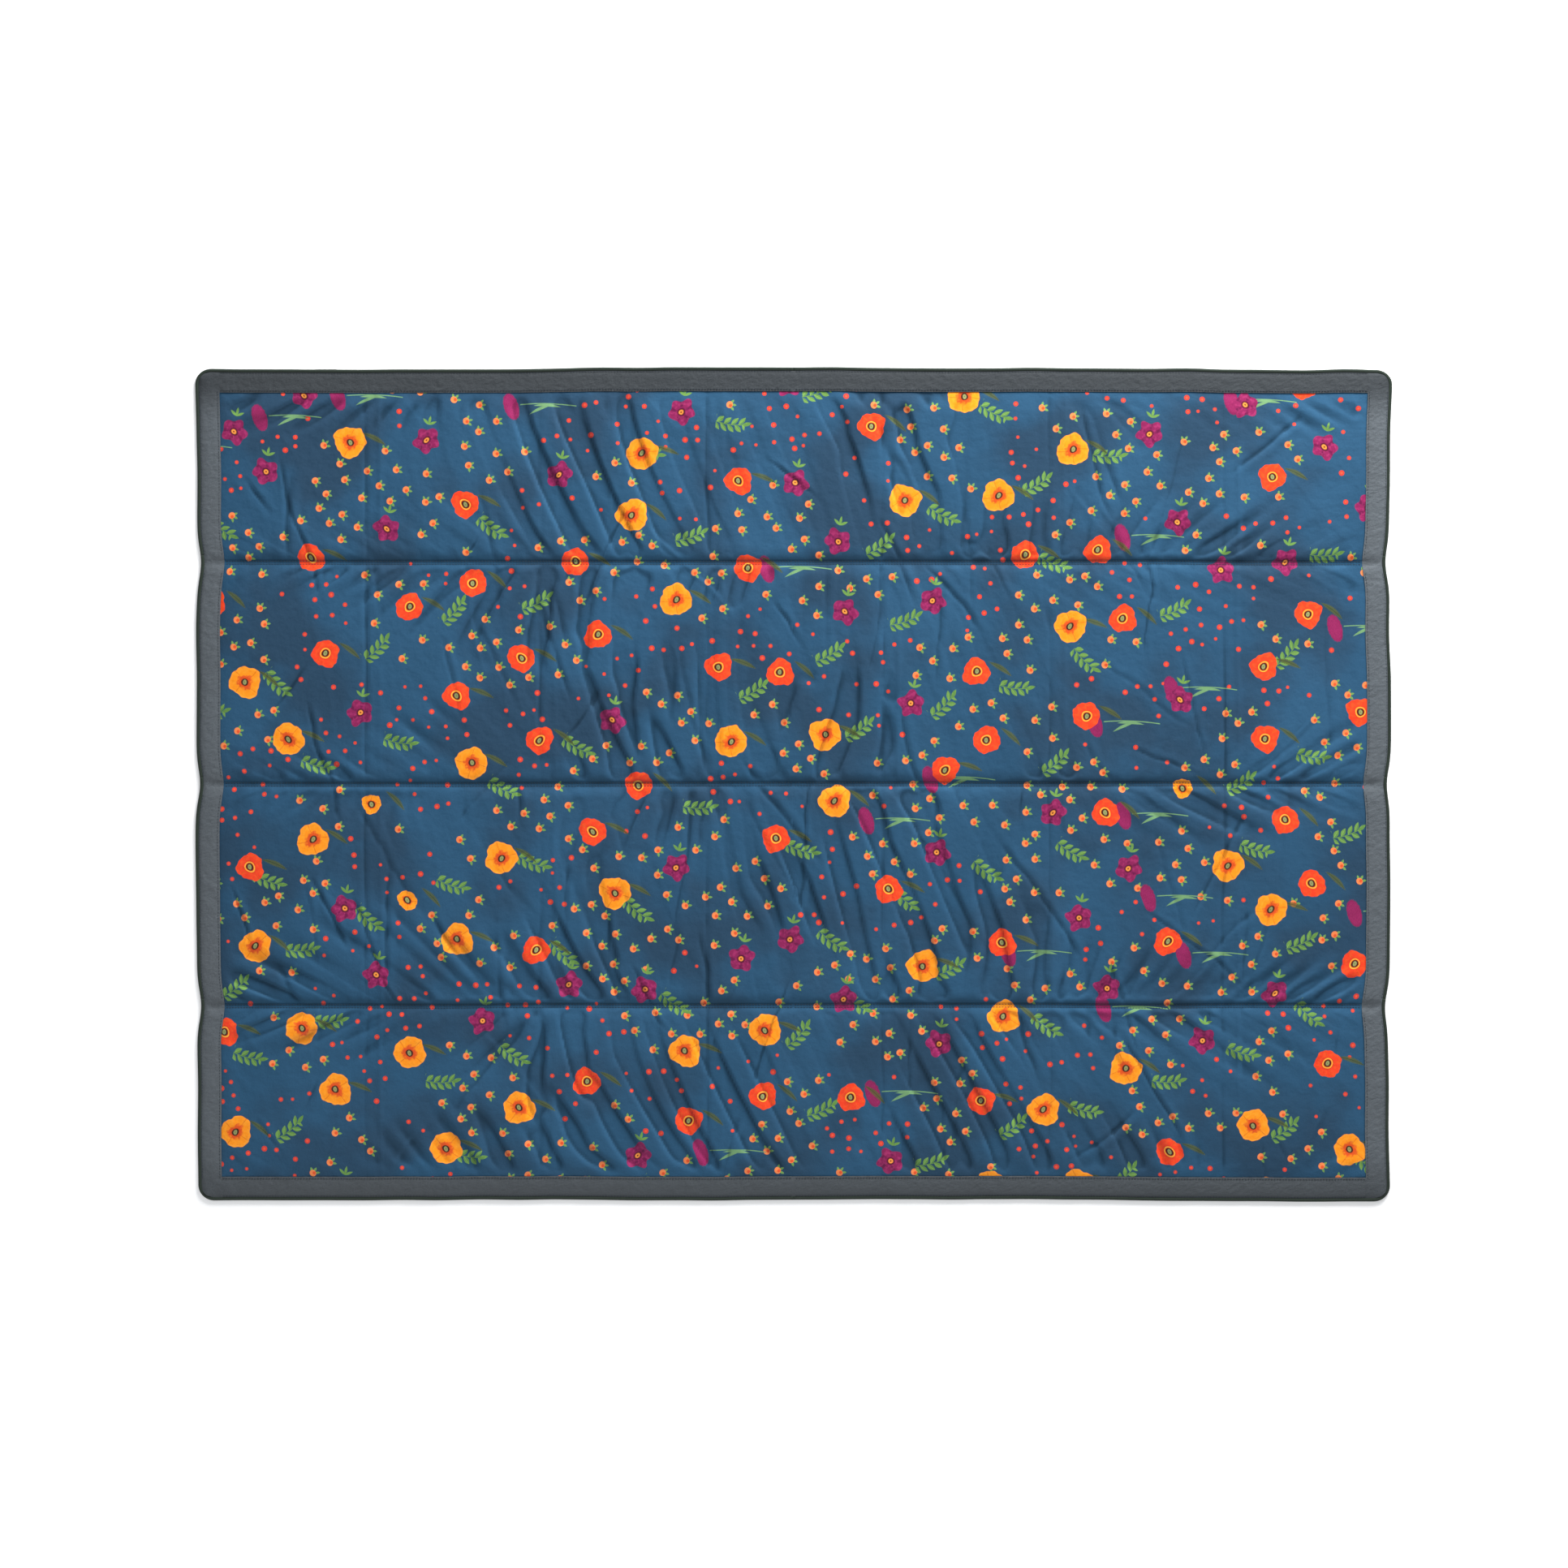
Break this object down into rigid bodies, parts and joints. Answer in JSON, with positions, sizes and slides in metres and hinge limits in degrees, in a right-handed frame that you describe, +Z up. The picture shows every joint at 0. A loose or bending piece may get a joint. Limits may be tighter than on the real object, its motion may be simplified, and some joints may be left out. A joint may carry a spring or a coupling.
{
  "type": "padded outdoor blanket",
  "caption": "Padded outdoor picnic blanket with a floral printed cover, grey facing and piping, folding at its sewn seams and across its middle, with a carry handle.",
  "frame": {"origin": "centre of the open blanket, at ground level", "axes": "+X along the seams, to the right as seen from above; +Y across the strips, towards the back edge with the handle; +Z up"},
  "size_m": [2.134, 1.49, 0.011],
  "materials": {
    "printed_cover": "satin",
    "batting": "matte",
    "backing": "satin",
    "facing": "matte",
    "piping": "matte",
    "thread": "satin",
    "webbing": "matte",
    "hook_and_loop": "matte"
  },
  "bodies": {
    "strip_1_left": {"top_cover_1_left": "printed_cover", "batting_1_left": "batting", "backing_1_left": "backing", "side_facing_1_left": "facing", "edge_piping_1_left": "piping", "stitching_1_left": "thread", "front_facing_left": "facing"},
    "strip_2_left": {"top_cover_2_left": "printed_cover", "batting_2_left": "batting", "backing_2_left": "backing", "side_facing_2_left": "facing", "edge_piping_2_left": "piping", "stitching_2_left": "thread"},
    "strip_3_left": {"top_cover_3_left": "printed_cover", "batting_3_left": "batting", "backing_3_left": "backing", "side_facing_3_left": "facing", "edge_piping_3_left": "piping", "stitching_3_left": "thread"},
    "strip_4_left": {"top_cover_4_left": "printed_cover", "batting_4_left": "batting", "backing_4_left": "backing", "side_facing_4_left": "facing", "edge_piping_4_left": "piping", "stitching_4_left": "thread", "back_facing_left": "facing", "webbing_anchors": "webbing"},
    "strip_1_right": {"top_cover_1_right": "printed_cover", "batting_1_right": "batting", "backing_1_right": "backing", "side_facing_1_right": "facing", "edge_piping_1_right": "piping", "stitching_1_right": "thread", "front_facing_right": "facing"},
    "strip_2_right": {"top_cover_2_right": "printed_cover", "batting_2_right": "batting", "backing_2_right": "backing", "side_facing_2_right": "facing", "edge_piping_2_right": "piping", "stitching_2_right": "thread"},
    "strip_3_right": {"top_cover_3_right": "printed_cover", "batting_3_right": "batting", "backing_3_right": "backing", "side_facing_3_right": "facing", "edge_piping_3_right": "piping", "stitching_3_right": "thread"},
    "strip_4_right": {"top_cover_4_right": "printed_cover", "batting_4_right": "batting", "backing_4_right": "backing", "side_facing_4_right": "facing", "edge_piping_4_right": "piping", "stitching_4_right": "thread", "back_facing_right": "facing", "loop_patches": "hook_and_loop"},
    "handle": {"carry_handle": "webbing"},
    "inner_strap": {"closure_strap_inner": "webbing", "hook_patch_inner": "hook_and_loop"},
    "outer_strap": {"closure_strap_outer": "webbing", "hook_patch_outer": "hook_and_loop"}
  },
  "joints": [
    {"name": "fold_seam_1", "type": "hinge", "parent": "strip_1_left", "child": "strip_2_left", "pos_m": [-0.53, -0.395, 0.0115], "axis": [1, 0, 0], "range_deg": [0, 178]},
    {"name": "fold_seam_2", "type": "hinge", "parent": "strip_2_left", "child": "strip_3_left", "pos_m": [-0.53, 0, -0.0005], "axis": [-1, 0, 0], "range_deg": [0, 178]},
    {"name": "fold_seam_3", "type": "hinge", "parent": "strip_3_left", "child": "strip_4_left", "pos_m": [-0.53, 0.395, 0.0115], "axis": [1, 0, 0], "range_deg": [0, 178]},
    {"name": "fold_seam_1_right", "type": "hinge", "parent": "strip_1_right", "child": "strip_2_right", "pos_m": [0.53, -0.395, 0.0115], "axis": [1, 0, 0], "range_deg": [0, 178]},
    {"name": "fold_seam_2_right", "type": "hinge", "parent": "strip_2_right", "child": "strip_3_right", "pos_m": [0.53, 0, -0.0005], "axis": [-1, 0, 0], "range_deg": [0, 178]},
    {"name": "fold_seam_3_right", "type": "hinge", "parent": "strip_3_right", "child": "strip_4_right", "pos_m": [0.53, 0.395, 0.0115], "axis": [1, 0, 0], "range_deg": [0, 178]},
    {"name": "cross_fold", "type": "hinge", "parent": "strip_1_left", "child": "strip_1_right", "pos_m": [0, -0.57, -0.0022], "axis": [0, 1, 0], "range_deg": [0, 178]},
    {"name": "handle_swing", "type": "hinge", "parent": "strip_4_left", "child": "handle", "pos_m": [-0.5335, 0.725, 0.0011], "axis": [1, 0, 0], "range_deg": [0, 175]},
    {"name": "inner_strap_swing", "type": "hinge", "parent": "strip_4_left", "child": "inner_strap", "pos_m": [-0.2335, 0.725, 0.0011], "axis": [1, 0, 0], "range_deg": [0, 175]},
    {"name": "outer_strap_swing", "type": "hinge", "parent": "strip_4_left", "child": "outer_strap", "pos_m": [-0.8335, 0.725, 0.0011], "axis": [1, 0, 0], "range_deg": [0, 175]}
  ],
  "couplings": [
    {"joint": "fold_seam_1_right", "follows": "fold_seam_1", "ratio": 1},
    {"joint": "fold_seam_2_right", "follows": "fold_seam_2", "ratio": 1},
    {"joint": "fold_seam_3_right", "follows": "fold_seam_3", "ratio": 1}
  ]
}
